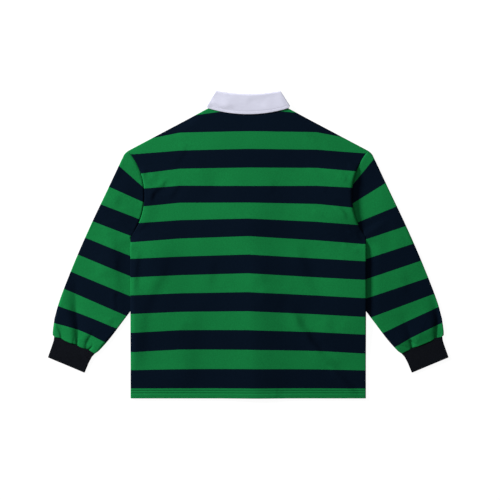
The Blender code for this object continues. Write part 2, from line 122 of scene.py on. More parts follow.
# At the left and the right armhole: the body's rise, how far in it reaches, how low its edge lies, how low the
# sleeve's edge lies, how low the sleeve gets, how far from the seam that is, and how far it takes to rise again.
ARMHOLE_RELIEF = ((1.6, 40, 1.2, 2.2, 2.2, 2, 52), (8.0, 180, 1.4, 3.2, 3.8, 20, 66))

# --- cuffs, in the sleeve's frame ---
CUFF_SEAM_ALONG = 499
CUFF_THICKNESS = 6.0
CUFF_LENGTH = 53.6
# How far along the cuff, and where its top side and its under side are there.
CUFF_SIDES = (
    (0, 8.6, 119), (1.5, 8.9, 118.5), (10, 11.2, 115.2), (27, 12.6, 113.5), (53, 14, 113.6),
)
CUFF_SEAM_FALL = (0.45, 0.72)  # the share of the left and right sleeve's swelling that is gone at the cuff's seam
SEAM_FALL_REACH = 34
CUFF_TROUGHS = ((0.15, 0.5, 0.81), (0.17, 0.72))  # where the gathers meet the left and the right cuff's seam
RIB_COUNT = 118  # ribs all round a cuff
RIB_DEPTH = 0.34

# --- collar ---
ROLL_HALF_WIDTH = 80.2
ROLL_Y = COLLAR_HIGH[1] - HEM_Y
BACK_ROLL_DIP, FRONT_ROLL_DIP, BACK_FALL_DIP = 8, 89, 16
FALL_WIDEST = COLLAR_HIGH[0] + 1.6
FALL_SIDE_Y = 731
FALL_CORNER_DROP = 6.5  # the fall's corner is rounded: its edge starts this far below the side's end
FALL_CORNER_WIDTH = 5
COLLAR_POINT = (43, 614)
COLLAR_SPLIT = 0.8
COLLAR_EDGE = 9.0  # how square the collar's folded sides are
COLLAR_STITCH = 0.12  # how far in from the fall's edge its stitching is, as a share of the fall
ROLL_START = 0.9
STAND_ON_FRONT, STAND_UNDER_BACK = 4.3, 7.4

# --- placket and buttons ---
PLACKET_HALF_WIDTH = STRIP_HIGH[0]
PLACKET_LEVEL = STRIP_LOW[2]
PLACKET_LOW_Y = STRIP_LOW[1] - HEM_Y - SEAM_GAP
PLACKET_STITCH = 2.5
PLACKET_RAMP = 34
COLLAR_PAD, COLLAR_PAD_RAMP = (112, 122), 45
# How far out and how high the button's skin is, from the middle of its back to the middle of its face.
BUTTON_PROFILE = (
    (0, 1), (0.8, 1), (0.93, 0.9), (1, 0.62), (1, 0.35), (0.96, 0.12),
    (0.88, 0), (0.78, 0.02), (0.68, 0.16), (0.62, 0.26), (0, 0.3),
)
BUTTON_STEPS = 40
HOLE_OFF, HOLE_SIZE = 0.27, 0.125  # as shares of the button's radius

# --- stripes ---
# The edges of the body's stripes, counted up from the hem: how high each is at the centre line, and how far it
# has dropped at the left side, half-way to it, half-way to the right side and at the right side.
STRIPE_MIDWAY, STRIPE_SIDE = 170, 285
BODY_STRIPES = (
    (24.5, 0.3, 0, 0, 0.5), (73.3, 3, 0.5, 1, 3.5), (121.3, 6, -0.6, 3, 9.5), (170.4, 6.5, 0.2, 5.3, 11),
    (217.5, 6.6, 1.8, 8, 14), (265, 7.6, 3, 8.4, 14.6), (312, 10, 4.8, 10.2, 16), (358.8, 10.5, 5.2, 9.8, 16.5),
    (404.6, 15, 6, 10.4, 19.6), (448.6, 12, 4, 8.2, 17), (488.2, 12, 0.2, 3.4, 15.5), (529.5, 8, -1, -0.5, 5.6),
    (575.6, 17.5, 2.8, 1, 11), (622.3, 13, 4.2, 2, 10.5), (665.9, 26, 3, 2, 24), (724, 30, 23, 17, 26),
    (771, 30, 23, 17, 26),
)
# The edges of the sleeves' stripes, counted down from the shoulder: how far along the left sleeve each is at the
# axis and 100 across from it, and the same for the right sleeve.
SLEEVE_STRIPES = (
    (45.4, 80, 26, 80), (101.4, 103.6, 92, 108), (149, 146.2, 155.2, 154.2), (196, 193, 208.2, 200.8),
    (241, 240, 255.8, 247.6), (287.1, 286.8, 302.6, 295.5), (333.2, 332.8, 348.5, 341.2),
    (379.5, 381, 392.1, 388.2), (423.9, 421, 427.2, 431.4), (466.8, 463.3, 467.5, 475), (512, 510, 512, 518),
)
STRIPE_BOWS = {8: 1, 9: 4}  # how far the gathers bow these of the edges
BOW_SHARE = (1.2, 0.6)  # on the left and the right sleeve

# --- folds and creases ---
# Each has its width where it starts and where it ends, its steepness, and its route as x, y, x, y and so on.
# The cloth falls away to the right of a route that runs down the garment, or to the left of it where
# the steepness is below nought.
BACK_CREASES = (
    (6, 5, 0.13, -149, 634, -165, 602, -188, 576),
    (4.5, 4, 0.38, -198, 548, -215, 526, -234, 511, -238, 497, -242, 484),
    (5, 5, 0.14, -165, 541, -177, 520, -200, 490),
    (4, 4, 0.2, -253, 574, -256, 560, -259, 544),
    (6, 6, 0.08, -222, 574, -227, 556, -229, 540),
    (4, 4, 0.15, -246, 446, -254, 434, -273, 413),
    (16, 16, 0.05, -128, 600, -98, 560, -92, 500),
    (6, 5, 0.15, 140, 654, 165, 640, 190, 625),
    (6, 5, 0.18, 148, 592, 170, 572, 197, 558),
    (3, 3, 0.42, 248, 589, 262, 582, 272, 575, 276, 564),
    (5, 5, 0.18, 229, 567, 240, 555, 250, 543),
    (6, 5, 0.12, 186, 537, 200, 518),
    (4, 4, 0.4, 207, 484, 222, 479, 235, 470, 245, 457, 248, 444),
    (6, 5, 0.16, 160, 479, 185, 465, 197, 453),
    (3.4, 3, 0.45, 246, 425, 267, 412, 284, 400),
    (3, 3, 0.22, 262, 433, 279, 415),
    (8, 8, 0.07, 65, 552, 64, 530, 66, 508),
    (6, 6, 0.2, -267, 378, -274, 332, -277, 290, -276, 256),
    (15, 12, 0.1, -183, 390, -199, 340, -201, 318, -215, 290, -227, 271, -249, 215, -257, 143, -268, 70),
    (9, 9, 0.05, -150, 196, -160, 166, -167, 136),
    (24, 28, 0.09, -122, 250, -126, 174, -132, 90, -128, 0),
    (22, 22, 0.07, -268, 330, -264, 180, -264, 20),
    (11, 11, 0.08, -78, 352, -93, 266),
    (13, 13, 0.12, 22, 288, 60, 277, 101, 262),
    (11, 7, 0.3, 104, 240, 114, 224, 125, 206, 137, 182, 151, 163, 162, 143, 173, 129, 187, 116, 207, 104, 240, 98),
    (6, 5, 0.22, 146, 172, 162, 143, 192, 112),
    (7, 6, 0.34, 207, 84, 221, 68, 234, 54, 248, 40, 262, 27, 284, 6),
    (12, 10, 0.1, 199, 205, 209, 179, 224, 160),
    (14, 12, 0.11, 123, 398, 148, 330, 157, 296, 171, 265, 182, 232),
    (4, 4, 0.36, 234, 392, 257, 379, 282, 372),
    (3, 3, 0.22, 73, 32, 73, 0),
    (3, 3, 0.12, 84, 28, 83, 0),
)
FRONT_CREASES = (
    (10, 8, 0.12, -88, 258, -123, 210, -151, 163, -187, 116, -232, 102),
    (8, 7, 0.12, -209, 79, -234, 54, -262, 27, -279, 10),
    (6, 5, 0.12, 200, 545, 215, 526, 236, 505, 242, 480),
    (4, 4, 0.13, -246, 590, -262, 580, -274, 566),
    (5, 4, 0.13, -210, 484, -235, 470, -247, 447),
    (4, 4, 0.12, -246, 425, -267, 412, -284, 400),
    (5, 4, 0.12, 246, 440, 256, 430, 273, 414),
    (12, 10, 0.09, 60, 452, 84, 424, 96, 380),
    (11, 9, 0.09, -56, 446, -72, 410, -76, 360),
    (14, 12, 0.08, 110, 270, 104, 206, 120, 130),
    (14, 12, 0.07, -20, 320, -32, 250, -24, 180),
    (9, 8, 0.09, 150, 622, 166, 570, 188, 520),
    (9, 8, 0.09, -150, 622, -170, 574, -194, 516),
    (11, 9, 0.1, 199, 340, 227, 271, 252, 180, 268, 83),
    (10, 8, 0.08, 30, 96, 44, 52, 46, 6),
)
LEFT_SLEEVE_CREASES = (
    (4.5, 4, 0.24, -331, 270, -331, 244, -328, 215),
    (7, 7, 0.11, -325, 352, -326, 316),
    (9, 8, 0.1, -334, 412, -331, 380, -329, 350),
    (12, 10, 0.1, -320, 514, -322, 468),
    (7, 7, 0.1, -338, 202, -340, 180),
    (12, 11, -0.07, -366, 446, -362, 420, -358, 398),
    (16, 14, -0.07, -384, 356, -378, 328, -374, 296),
    (9, 9, 0.08, -300, 600, -318, 566, -330, 530),
    (20, 20, 0.08, -322, 410, -318, 330, -322, 240),
)
RIGHT_SLEEVE_CREASES = (
    (14, 12, 0.06, 424, 440, 430, 360, 440, 300),
    (13, 12, -0.05, 352, 470, 356, 410, 364, 350),
    (12, 11, 0.07, 388, 330, 396, 290, 404, 250),
)
UNDER_SLEEVE_CREASES = (
    (10, 9, 0.08, 352, 480, 350, 390, 346, 300),
    (11, 10, 0.08, 420, 420, 424, 340, 430, 270),
)
COLLAR_CREASES = (
    (5.2, 5.2, -0.27, -116, 752, -96, 736, -78, 729, -58, 723, -34, 718),
    (24, 24, -0.03, -66, 772, -72, 722),
    (9, 9, -0.04, 52, 752, 40, 738, 28, 722),
    (7, 7, 0.05, 16, 752, 4, 741, -8, 730),
    (26, 26, -0.05, 78, 772, 66, 718),
)
# The gathers are grooves that run on at their full depth into the cuff's seam. Each has how wide its left and
# right walls are at the start, how wide they are at the end, its depth, and its route.
LEFT_GATHERS = (
    (23, 40, 6.5, 34, 7.4, -432, 330, -431, 246, -430, 221, -427, 196, -425, 176, -425, 158, -428, 118),
    (2.4, 3, 2.4, 3, 1.5, -432, 160, -435, 146, -439, 118),
    (2.4, 3, 2.4, 3, 1.5, -427, 163, -426, 150, -429, 118),
    (4, 14, 2.8, 14, 4.2, -480, 192, -471, 171, -467, 158, -465, 130),
    (6, 36, 4.6, 32, 3.8, -384, 178, -390, 160, -398, 146, -403, 136, -407, 108),
    (2.4, 3, 2.4, 3, 2.2, -393, 142, -389, 132, -393, 125, -400, 119, -404, 110),
)
RIGHT_GATHERS = (
    (19, 30, 2.5, 24, 6.8, 456, 272, 464, 240, 471, 215, 474, 195, 472, 176, 468, 150, 465, 118),
    (40, 36, 3, 10, 6.6, 382, 226, 394, 190, 402, 164, 407, 146, 410, 133, 410, 108),
    (6, 2.8, 6, 2.8, 3.4, 362, 135, 379, 132, 389, 129, 400, 124, 412, 117),
    (2.8, 6, 2.8, 6, 3, 432, 131, 418, 135, 407, 142),
    (3.4, 4, 2.4, 2.8, 2, 397, 152, 403, 143, 407, 131, 409, 110),
)
UNDER_GATHERS = (
    (4, 5, 3, 3, 0.9, 470, 196, 466, 172, 460, 124),
    (6, 8, 4, 5, 1.2, 440, 232, 432, 182, 428, 112),
    (4, 5, 3, 4, 0.9, 392, 178, 398, 150, 404, 106),
)
GATHER_RIM, RIM_REACH = 0.4, 45  # the share of a groove's depth that the cloth beside it rises, and how far off
# A broad ridge down the middle, in the gathers' way of writing.
BACK_RIDGE = (
    (50, 52, 50, 60, -5.4, 4, 600, 14, 490, 7, 390, 18, 290, 11, 190, 19, 90, 13, -60),
)


# --- shapes in numbers ---
def smooth(t):
    t = np.clip(t, 0, 1)
    return t * t * (3 - 2 * t)


def bell(distances, half_width):
    return np.exp(-((distances / half_width) ** 2))


def unit(vectors):
    return vectors / np.maximum(np.linalg.norm(vectors, axis=-1, keepdims=True), 1e-12)


def run(line):
    """How far along a line each of its points is."""
    return np.r_[0, np.cumsum(np.linalg.norm(np.diff(line, axis=0), axis=1))]


def raised(flat, heights):
    """Garment coordinates with a height, or another number, added to each."""
    return np.concatenate([flat, np.broadcast_to(heights, flat.shape[:-1])[..., None]], axis=-1)


def spline(points, shares):
    """Points on the Catmull-Rom curve through these points, at these shares of its length."""
    p = np.array(points, float)
    p = np.vstack([2 * p[0] - p[1], p, 2 * p[-1] - p[-2]])
    t = np.linspace(0, 1, 24, endpoint=False)[:, None] ** range(4)
    basis = np.array([[0, 2, 0, 0], [-1, 0, 1, 0], [2, -5, 4, -1], [-1, 3, -3, 1]]) / 2
    line = np.vstack([*(t @ basis @ p[k : k + 4] for k in range(len(p) - 3)), p[-2:-1]])
    along = run(line)
    at = np.asarray(shares) * along[-1]
    return np.stack([np.interp(at, along, line[:, k]) for k in range(2)], axis=1)


def near(points, path):
    """How far each point is off a path, to which side of it, and how far along it, from 0 to 1."""
    best = np.full(points.shape[:-1], np.inf)
    side, share = np.zeros_like(best), np.zeros_like(best)
    starts = run(path)
    for a, way, start, length in zip(path, np.diff(path, axis=0), starts, np.diff(starts)):
        t = np.clip((points - a) @ way / length**2, 0, 1)
        off = points - a - t[..., None] * way
        d = np.hypot(off[..., 0], off[..., 1])
        closer = d < best
        best = np.where(closer, d, best)
        side = np.where(closer, np.sign(way[0] * off[..., 1] - way[1] * off[..., 0]), side)
        share = np.where(closer, (start + t * length) / starts[-1], share)
    return best, side, share


def distance(points, path):
    return near(points, path)[0]


def beside(points, route):
    """The same for the smooth curve through a route's places, which are written x, y, x, y and so on."""
    return near(points, spline(np.reshape(route, (-1, 2)), np.linspace(0, 1, 16)))


def edge_round(d, radius, power=2.0):
    """0 on a folded edge and 1 from one radius inside it: a quarter circle, or squarer for a higher power."""
    return (1 - np.clip(1 - d / radius, 0, 1) ** power) ** (1 / power)


def seam_turn(radius, steps):
    """Distances from a folded edge that lie evenly round its quarter circle, without the edge itself."""
    return radius * (1 - np.cos(np.linspace(0, math.pi / 2, steps + 1)))[1:]


def across_fold(width, radius, middle):
    """Distances from one folded edge to the other, close together where the edges turn."""
    turn = np.r_[0, seam_turn(radius, FOLD_STEPS)]
    return np.r_[turn, np.linspace(radius, width - radius, middle + 1)[1:-1], (width - turn)[::-1]]


def swell(points, seed):
    """A slight unevenness of the cloth: broad waves in several directions, between about -1 and 1."""
    total = np.zeros(points.shape[:-1])
    waves = ((210, 0.32), (160, 0.27), (115, 0.2), (83, 0.13), (61, 0.08))
    for k, (pitch, height) in enumerate(waves):
        turn = seed * 1.7 + k * 2.4
        at = points[..., 0] * math.cos(turn) + points[..., 1] * math.sin(turn)
        total += height * np.sin(2 * math.pi * at / pitch + seed * (k + 1))
    return total


def creased(points, creases):
    """The height that these folds add: each climbs slowly to a ridge and drops quickly into a trough."""
    total = np.zeros(points.shape[:-1])
    for k, (start_width, end_width, steepness, *route) in enumerate(creases):
        off, side, share = beside(points, route)
        fade = smooth(share / 0.3) * smooth((1 - share) / 0.3)
        width = start_width + (end_width - start_width) * share
        uneven = 1 + 0.15 * np.sin(9 * share + 1.3 * k)
        u = side * off / width
        drop = np.tanh(u)
        lean = math.copysign(0.35, steepness)
        total -= steepness * width * fade * uneven * (drop - lean * drop**2) * bell(u, 2.8)
    return total


def gathered(points, gathers, rim, right_power):
    """The depth of these grooves, below nought, with the cloth beside them raised by a share of it.

    Each starts shallow and is deepest where it ends. The lower the power, the sharper its right wall starts.
    """
    total = np.zeros(points.shape[:-1])
    for left, right, left_end, right_end, depth, *route in gathers:
        off, side, share = beside(points, route)
        wall = np.where(side > 0, right + (right_end - right) * share, left + (left_end - left) * share)
        steep = np.where(side > 0, right_power, 1.6)
        total -= depth * smooth(share / 0.55) * (np.exp(-((off / wall) ** steep)) - rim * bell(off, RIM_REACH))
    return total


# --- the garment's outline and heights ---
def from_sleeve(along, across):
    """Garment coordinates of a place on the right sleeve."""
    return SHOULDER_TIP + np.stack([along, across], axis=-1) @ SLEEVE_TURN


def sleeve_place(points):
    """How far along and across the right sleeve these garment points are."""
    return np.moveaxis((points - np.array(SHOULDER_TIP)) @ SLEEVE_TURN, -1, 0)


def top_fold(shares):
    along, crown = np.array(TOP_FOLD).T
    _, top_side, _ = CUFF_SIDES[0]
    return spline(from_sleeve(np.r_[along, CUFF_SEAM_ALONG], np.r_[-crown, top_side]), shares)


def underarm_fold(shares):
    _, _, under_side = CUFF_SIDES[0]
    return spline(np.vstack([UNDERARM_FOLD, from_sleeve(CUFF_SEAM_ALONG, under_side)]), shares)


def armhole(shares, gap=0.0):
    """The armhole's arc, from the shoulder tip to the underarm, moved outwards by gap."""
    tip, low = np.array(SHOULDER_TIP), np.array([BODY_HALF_WIDTH, UNDERARM_Y])
    upward = unit(tip - low)
    inward = np.array([-upward[1], upward[0]])
    centre = (tip + low) / 2 + inward * (ARMHOLE_DEPTH - ARMHOLE_RADIUS)
    turn = ARMHOLE_TURN * (1 - 2 * np.asarray(shares))
    return centre + (ARMHOLE_RADIUS - gap) * (np.cos(turn)[:, None] * inward + np.sin(turn)[:, None] * upward)


def armhole_shares(count):
    """Where the panels' rows and the sleeve's first ring lie along the armhole."""
    lip, *turn = np.r_[LIP_STEP, seam_turn(BODY_THICKNESS / 2, FOLD_STEPS)] / (2 * ARMHOLE_TURN * ARMHOLE_RADIUS)
    middle = np.linspace(turn[-1], 1 - turn[-1], count + 2)[1:-1]
    return np.r_[0, lip, turn, middle, 1 - np.array(turn[::-1]), 1]


def neck_y(x, neck):
    drop, power = neck
    return NECK_Y - drop * (1 - (np.abs(x) / NECK_HALF_WIDTH) ** power)


def shirt_top_y(x, neck):
    """The top edge of a panel: the shoulder seams, and the neck between them."""
    x = np.abs(x)
    shoulder = SHOULDER_TIP[1] + (SHOULDER_TIP[0] - x) * SHOULDER_SLOPE
    return np.where(x > NECK_HALF_WIDTH, shoulder, neck_y(np.minimum(x, NECK_HALF_WIDTH), neck))


UPPER_FOLDS = np.vstack([[NECK_HALF_WIDTH, NECK_Y], top_fold(np.linspace(0, 1, 60))])
SIDE_FOLD = np.array([[BODY_HALF_WIDTH, -100], [BODY_HALF_WIDTH, UNDERARM_Y]])
UNDERARM_LINE = underarm_fold(np.linspace(0, 1, 80))
ARMHOLE_LINE = armhole(np.linspace(0, 1, 30), SEAM_GAP / 2)


def armhole_seam(points, upper, right):
    """How the body puffs up towards the armhole seam, dips into it, and the sleeve lies low outside it."""
    off, side, share = near(points, ARMHOLE_LINE)
    ripple = np.sin(38 * share + 3 * np.sin(7 * share)) + 0.6 * np.sin(71 * share + 1)
    total = 0.18 * ripple * bell(off - 4, 6) - 0.6 * bell(off, 1.3)
    total = total * smooth(share / 0.05) * smooth((1 - share) / 0.05)
    if not upper:
        return total
    puff, reach, seam, low, drop, valley, valley_end = ARMHOLE_RELIEF[right]
    lie = smooth((share - 0.11) / 0.26) * smooth((1 - share) / np.where(side < 0, 0.32, 0.1))
    body = -seam + (seam + puff) * edge_round(off, 4.5) - puff * smooth((off - 4.5) / reach)
    sleeve = -(low + (drop - low) * smooth(off / valley)) * (1 - smooth((off - valley) / valley_end))
    if not right:
        edge = 0.3 * (bell(off - 1.2, 1.5) - bell(off - 4.8, 2.2))
        edge = np.where(side < 0, edge, -2.4 * bell(off, 2.4)) * smooth((0.98 - share) / 0.16)
        total += edge * (smooth((share - 0.02) / 0.08) + smooth((share - 0.3) / 0.25)) / 2
    return total + lie * np.where(side < 0, body, sleeve)


def body_floor(points, upper):
    """The body's lowest side: 0 where it rests, and higher over the sleeves, the placket and the collar.

    The upper skin bridges these steps with longer slopes.
    """
    longer, earlier = (UPPER_RAMPS, UPPER_EARLIER) if upper else (1, 0)
    sided = np.abs(points)
    x, y = sided[..., 0], sided[..., 1]
    tuck = smooth(1 - (BODY_HALF_WIDTH - TUCK_REACH - x) / (TUCK_INNER_RAMP * longer))
    tuck *= smooth((UNDERARM_Y + earlier - y) / (TUCK_TOP_RAMP + 1.6 * earlier))
    tuck *= smooth(1 - (TUCK_LOW_Y - y) / TUCK_LOW_RAMP)
    placket = np.array([[0, PLACKET_LOW_Y], [0, NECK_Y]])
    off_placket = distance(sided, placket) - PLACKET_HALF_WIDTH - 3
    off_collar = (np.hypot(x / COLLAR_PAD[0], (NECK_Y - y) / COLLAR_PAD[1]) - 1) * COLLAR_PAD[0]
    at_placket = smooth(1 - off_placket / (PLACKET_RAMP * longer**2))
    at_collar = smooth(1 - off_collar / (COLLAR_PAD_RAMP * longer**2))
    return TUCK_LIFT * tuck + PLACKET_LEVEL * np.maximum(at_placket, at_collar)


def hem_relief(y, upper):
    """The hem's turned-up cloth, and a groove under each of its two rows of stitching."""
    turned = 0.35 * smooth((HEM_TURN - y) / 1.4) if upper else 0
    return turned - 1.3 * bell(y - HEM_ROWS[0], 1.5) - 1.4 * bell(y - HEM_ROWS[1], 1.3)


def body_height(points, upper):
    """The body's outer skin, above or below."""
    x, y = points[..., 0], points[..., 1]
    sided = np.abs(points)  # the same places on the right side, because y is never below nought
    d = np.minimum(distance(sided, SIDE_FOLD), distance(sided, UPPER_FOLDS))
    half = BODY_THICKNESS / 2
    rounded = edge_round(d, half, UPPER_EDGE if upper else 2.0)
    reach = np.maximum(half * rounded, SEAM_LIP)
    floor = body_floor(points, False)
    if upper:
        over_sleeve = smooth((UNDERARM_Y - 12 - y) / 44) * smooth((y - TUCK_LOW_Y + 90) / 150)
        reach = reach + SIDE_LIFT * over_sleeve * bell(np.minimum(x - BODY_HALF_WIDTH, 0), SIDE_LIFT_REACH) * rounded
        away = smooth((np.minimum(d, distance(sided, ARMHOLE_LINE)) - 1) / 20)
        floor = floor + away * (body_floor(points, True) - floor)
    reach = np.where(d < LIP_STEP / 2, SEAM_GAP / 2, reach)
    middle = floor + half
    inner = smooth((d - 1) / 9)
    seams = np.where(x > 0, armhole_seam(sided, upper, True), armhole_seam(sided, upper, False))
    seams = seams * smooth((d - 0.5) / 3)
    hem = hem_relief(y, upper) * smooth(d / 3)
    if upper:
        shaped = creased(points, BACK_CREASES) + gathered(points, BACK_RIDGE, 0.0, 2.0) + 0.45 * swell(points, 1.0)
        return middle + reach + inner * shaped + seams + hem
    shaped = creased(points, FRONT_CREASES) + 0.25 * (1 + swell(points, 2.0))
    return middle - reach + np.maximum(inner * shaped - seams - hem, 0)


def sleeve_height(points, upper, right):
    """The sleeve's outer skin: thinner under the body's side, and dipping into the gathers at the cuff.

    The places are on the right sleeve; the left sleeve is its mirror image with folds of its own.
    """
    along, _ = sleeve_place(points)
    to_cuff = CUFF_SEAM_ALONG - along
    under_body = smooth(1 - (points[..., 0] - BODY_HALF_WIDTH - 3) / TUCK_RELEASE)
    under_body *= smooth((UNDERARM_Y - points[..., 1]) / TUCK_TOP_RAMP)
    under_body *= smooth((0.86 - along / CUFF_SEAM_ALONG) / 0.12)
    half = (SLEEVE_THICKNESS + (TUCKED_SLEEVE - SLEEVE_THICKNESS) * under_body) / 2
    d = np.minimum(distance(points, UPPER_FOLDS), distance(points, UNDERARM_LINE))
    reach = half * edge_round(d, half, UPPER_EDGE if upper else 2.0)
    inner = smooth((d - 0.5) / 6) * (1 - under_body)
    seam = armhole_seam(points, upper, right) * smooth((d - 0.5) / 3)
    sided = points if right else points * (-1, 1)
    if upper:
        gathers, creases = (RIGHT_GATHERS, RIGHT_SLEEVE_CREASES) if right else (LEFT_GATHERS, LEFT_SLEEVE_CREASES)
        shaped = gathered(sided, gathers, GATHER_RIM, 1.2) + creased(sided, creases) + 0.4 * swell(sided, 3.0)
        shaped += (1.2 if right else 2.2) * bell(30 - to_cuff, 34) * smooth((to_cuff + 4) / 22)
        settle = 1 - CUFF_SEAM_FALL[right] * smooth(1 - to_cuff / SEAM_FALL_REACH)
        top = half + reach + inner * np.where(shaped > 0, shaped * settle, shaped) + seam
        return np.maximum(top, np.minimum(LEAST_SLEEVE, half))
    shaped = creased(points, UNDER_SLEEVE_CREASES) - gathered(points, UNDER_GATHERS, 0.0, 1.2)
    shaped += 0.2 * (1 + swell(sided, 4.0))
    return half - reach + np.maximum(inner * shaped - seam, 0)


# --- stripes ---
def edges_passed(values, edges):
    """How many of these edges lie before each value, counting parts of a stripe."""
    count = values / edges[0] - 1
    for k, (edge, after) in enumerate(zip(edges, edges[1:])):
        t = (values - edge) / (after - edge)
        count = np.where(t > 0, k + t, count)
    return count


def body_stripe(points):
    places = (-STRIPE_SIDE, -STRIPE_MIDWAY, 0, STRIPE_MIDWAY, STRIPE_SIDE)
    edges = [up - np.interp(points[..., 0], places, np.insert(drops, 2, 0)) for up, *drops in BODY_STRIPES]
    return edges_passed(points[..., 1], edges)


def sleeve_stripe(points, right):
    along, across = sleeve_place(points)
    bow = BOW_SHARE[right] * np.sin(math.pi * np.clip(across / 125, 0, 1))
    edges = []
    for k, row in enumerate(SLEEVE_STRIPES):
        at_axis, at_100 = row[2:] if right else row[:2]
        edges.append(at_axis + np.minimum(across / 100, 1.6) * (at_100 - at_axis) - STRIPE_BOWS.get(k, 0) * bow)
    return edges_passed(along, edges)


# --- from numbers to pieces ---
def grid_normals(skin, ring):
    """The way out of a skin at each of its places, up to a sign."""
    across = np.roll(skin, -1, axis=1) - np.roll(skin, 1, axis=1) if ring else np.gradient(skin, axis=1)
    along = np.gradient(skin, axis=0)
    normal = unit(np.cross(across, along))
    crowded = np.linalg.norm(along, axis=-1) < 0.25
    for i in range(len(skin) - 2, -1, -1):
        normal[i, crowded[i]] = normal[i + 1, crowded[i]]
    return normal


def smooth_mesh(places, faces):
    """A mesh at these garment coordinates and heights."""
    mesh = bpy.data.meshes.new("cloth")
    mesh.from_pydata(((places + (0, HEM_Y, 0)) * MM).tolist(), [], faces)
    mesh.shade_smooth()
    return mesh


def shell(skin, wall, weave, ring=False, flip=False, rounded=(), kept=None):
    """A closed wall of cloth under a skin of rows of places.

    weave gives each place's own coordinates across and along the cloth and its stripe; rounded
    names the edges that swell outwards, and kept says which of the skin's faces exist.
    """
    rows, count = skin.shape[:2]
    inner = skin - wall * grid_normals(skin, ring) * (-1 if flip else 1)
    index = np.arange(rows * count).reshape(rows, count)
    after = np.roll(index, -1, axis=1) if ring else index[:, 1:]
    before = index if ring else index[:, :-1]
    quads = np.stack([before[:-1], after[:-1], after[1:], before[1:]], axis=-1)
    quads = quads.reshape(-1, 4) if kept is None else quads[kept]
    if flip:
        quads = quads[:, ::-1]
    out = np.zeros_like(skin)
    if "start" in rounded:
        out[0] += unit(skin[0] - skin[1])
    if "end" in rounded:
        out[-1] += unit(skin[-1] - skin[-2])
    if "sides" in rounded:
        out[:, 0] += unit(skin[:, 0] - skin[:, 1])
        out[:, -1] += unit(skin[:, -1] - skin[:, -2])
    middle = (skin + inner) / 2 + 0.3 * wall * unit(out)

    a, b = quads.reshape(-1), np.roll(quads, -1, axis=1).reshape(-1)
    total = rows * count
    open_edge = ~np.isin(b * total + a, a * total + b)
    a, b = a[open_edge], b[open_edge]
    upper_rim = np.stack([b, a, a + 2 * total, b + 2 * total], axis=-1)
    lower_rim = np.stack([b + 2 * total, a + 2 * total, a + total, b + total], axis=-1)
    faces = np.vstack([quads, quads[:, ::-1] + total, upper_rim, lower_rim])
    places = np.vstack([layer.reshape(-1, 3) for layer in (skin, inner, middle)])
    used, faces = np.unique(faces, return_inverse=True)
    mesh = smooth_mesh(places[used], faces.reshape(-1, 4).tolist())
    lay = mesh.attributes.new("weave", "FLOAT_VECTOR", "POINT")
    threads = np.tile(weave.reshape(-1, 3), (3, 1))[used] * (MM, MM, 1)
    lay.data.foreach_set("vector", threads.astype(np.float32).reshape(-1))
    return mesh


def add(name, data):
    """A new object in the scene."""
    made = bpy.data.objects.new(name, data)
    bpy.context.scene.collection.objects.link(made)
    return made


def place(name, mesh, material, node=None):
    """A new piece that rides on the shirt and may stand for a CAD node."""
    mesh.name = name
    piece = add(name, mesh)
    mesh.materials.append(material)
    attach(piece, "root")
    if node:
        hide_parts(node)
    return piece


# --- pieces ---
def panel_bases():
    """Where a panel's columns are at its widest row, from its left edge to its right edge."""
    turned = SHOULDER_TIP[0] - np.r_[0, LIP_STEP, seam_turn(BODY_THICKNESS / 2, 5)]
    slot = PLACKET_HALF_WIDTH + SEAM_GAP
    outer = np.linspace(turned[-1], NECK_HALF_WIDTH, 56)[1:]
    half = np.r_[turned, outer, np.linspace(NECK_HALF_WIDTH, slot, 19)[1:], np.linspace(slot, 0, 5)[1:-1]]
    return np.r_[-half, 0, half[::-1]]


def panel_places(neck):
    """Rows of garment coordinates from the hem to the shoulders, each from side to side."""
    hem = [0, 0.8, 3, 6, 8.5, 10.4, 11.5, 12.5, 13.5, 14.8, 16.4, 17.3, 18.1, 19, 20, 21.2, 23, 26, 30]
    straight = np.r_[hem, np.linspace(hem[-1], UNDERARM_Y, 88)[1:-1]]
    sides = np.column_stack([np.full(len(straight), BODY_HALF_WIDTH), straight])
    sides = np.vstack([sides, armhole(armhole_shares(48))[::-1]])
    bases = panel_bases()
    size = np.abs(bases)
    inward = SHOULDER_TIP[0] - size
    at_edge = np.minimum(inward, BODY_THICKNESS)
    at_neck = np.clip((NECK_HALF_WIDTH + 6 - size) / 6, 0, 1)
    top = shirt_top_y(bases, neck) - SHOULDER_TIP[1] - SEAM_GAP * at_neck
    fixed = FIXED_HALF + BODY_THICKNESS
    half_width, y = sides.T[..., None]
    share = (half_width - fixed) / (SHOULDER_TIP[0] - fixed)
    x = half_width - at_edge - (inward - at_edge) * share
    x = np.sign(bases) * np.where(size <= FIXED_HALF, size, x)
    rise = np.clip((y - UNDERARM_Y) / (SHOULDER_TIP[1] - UNDERARM_Y), 0, 1) ** 1.4
    return np.stack([x, y + rise * top], axis=-1)


def panel(upper, neck, slotted=False):
    flat = panel_places(neck)
    kept = None
    if slotted:
        slot = PLACKET_HALF_WIDTH + SEAM_GAP
        low = int(np.argmin(np.abs(flat[:, len(flat[0]) // 2, 1] - PLACKET_LOW_Y)))
        flat[low, np.abs(flat[0, :, 0]) < slot + 0.01, 1] = PLACKET_LOW_Y
        centre = (flat[:-1, :-1, 0] + flat[1:, 1:, 0]) / 2
        kept = (np.abs(centre) >= slot) | (np.arange(len(flat) - 1)[:, None] < low)
    skin, weave = raised(flat, body_height(flat, upper)), raised(flat, body_stripe(flat))
    return shell(skin, JERSEY, weave, flip=not upper, rounded=("start",), kept=kept)


